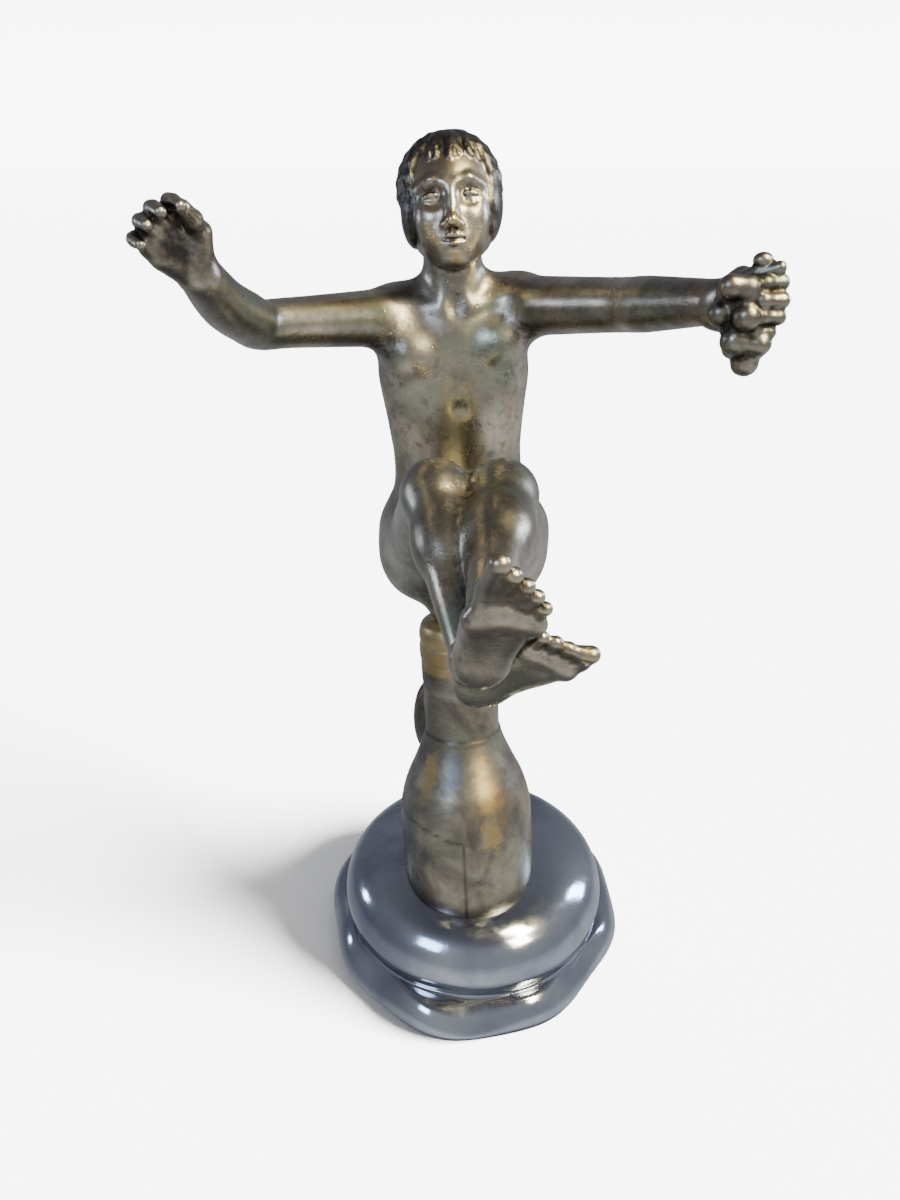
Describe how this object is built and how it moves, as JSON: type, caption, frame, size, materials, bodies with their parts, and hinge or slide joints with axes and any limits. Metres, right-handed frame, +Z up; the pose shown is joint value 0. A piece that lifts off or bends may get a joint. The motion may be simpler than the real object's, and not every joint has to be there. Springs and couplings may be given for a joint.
{
  "type": "bronze figurine of a seated woman on a bottle",
  "caption": "Plated bronze mascot figurine: a seated woman with arms spread, holding grapes, on the mouth of a champagne bottle that stands on a domed cap with a wavy rim.",
  "frame": {"origin": "centre of the cap's flat underside", "axes": "+Z up, -Y the way the woman looks, +X to her left"},
  "size_m": [0.0831, 0.1081, 0.1816],
  "materials": {
    "plated_bronze": "worn silver-grey plating over golden bronze, dark brown in the recesses, satin",
    "plated_bottle": "worn silver-grey plating with yellow-green and brown streaks, satin",
    "bright_plating": "polished blue-grey plating"
  },
  "bodies": {
    "root": {"seated_woman": "plated_bronze", "champagne_bottle": "plated_bottle", "wavy_cap": "bright_plating"}
  },
  "joints": []
}
